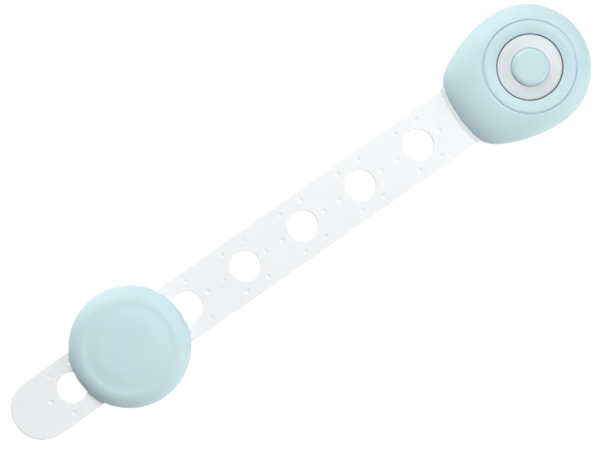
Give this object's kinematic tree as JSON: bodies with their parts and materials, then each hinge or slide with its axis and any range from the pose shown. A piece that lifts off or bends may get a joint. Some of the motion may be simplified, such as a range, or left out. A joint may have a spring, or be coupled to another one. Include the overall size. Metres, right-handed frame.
{
  "type": "cabinet safety lock",
  "caption": "Child-safety strap lock: egg-shaped push-button latch head, flexible holed strap and a round clamp pad, stuck on with foam pads.",
  "frame": {"origin": "on the back of the lock head's foam pad, under the button's axis", "axes": "+X along the strap towards the head, +Z away from the surface that the lock is stuck to"},
  "size_m": [0.1952, 0.0364, 0.0139],
  "materials": {
    "teal_plastic": "satin moulded",
    "white_plastic": "satin moulded",
    "strap_plastic": "soft translucent, satin",
    "natural_plastic": "natural acetal, satin",
    "foam": "closed-cell foam tape, matte",
    "spring_steel": "drawn wire",
    "fastener_steel": "zinc plated"
  },
  "bodies": {
    "head": {"head_cover": "teal_plastic", "head_base": "white_plastic", "head_adhesive": "foam", "cover_screws": "fastener_steel", "mouth_lip": "white_plastic", "ring_spring": "spring_steel", "button_spring": "spring_steel", "spring_deck": "natural_plastic", "latch_finger": "natural_plastic", "latch_rivets": "fastener_steel"},
    "ring": {"press_ring": "white_plastic"},
    "button": {"centre_button": "teal_plastic"},
    "strap": {"strap_head_end": "strap_plastic", "strap_flex": "strap_plastic", "strap_tongue": "natural_plastic", "tongue_rivets": "fastener_steel"},
    "strap_tail": {"strap_tail": "strap_plastic"},
    "anchor_cap": {"anchor_cap": "teal_plastic"},
    "anchor_base": {"anchor_base": "white_plastic", "anchor_adhesive": "foam"}
  },
  "joints": [
    {"name": "ring_press", "type": "slide", "parent": "head", "child": "ring", "axis": [0, 0, -1], "range_m": [0, 0.0015], "stiffness_N_per_m": 600, "springref_m": -0.002, "deforming": ["ring_spring"]},
    {"name": "button_press", "type": "slide", "parent": "ring", "child": "button", "axis": [0, 0, -1], "range_m": [0, 0.0015], "stiffness_N_per_m": 500, "springref_m": -0.002, "deforming": ["button_spring", "latch_finger"]},
    {"name": "strap_pull", "type": "slide", "parent": "head", "child": "strap", "axis": [-1, 0, 0], "range_m": [0, 0.045]},
    {"name": "strap_bend", "type": "hinge", "parent": "strap", "child": "strap_tail", "pos_m": [-0.068, 0, 0.0044], "axis": [0, 1, 0], "range_deg": [-90, 90], "stiffness_Nm_per_rad": 0.03, "deforming": ["strap_flex"]},
    {"name": "cap_lift", "type": "slide", "parent": "strap_tail", "child": "anchor_cap", "axis": [0, 0, 1], "range_m": [0, 0.012]},
    {"name": "base_release", "type": "slide", "parent": "strap_tail", "child": "anchor_base", "axis": [0, 0, -1], "range_m": [0, 0.01]}
  ]
}
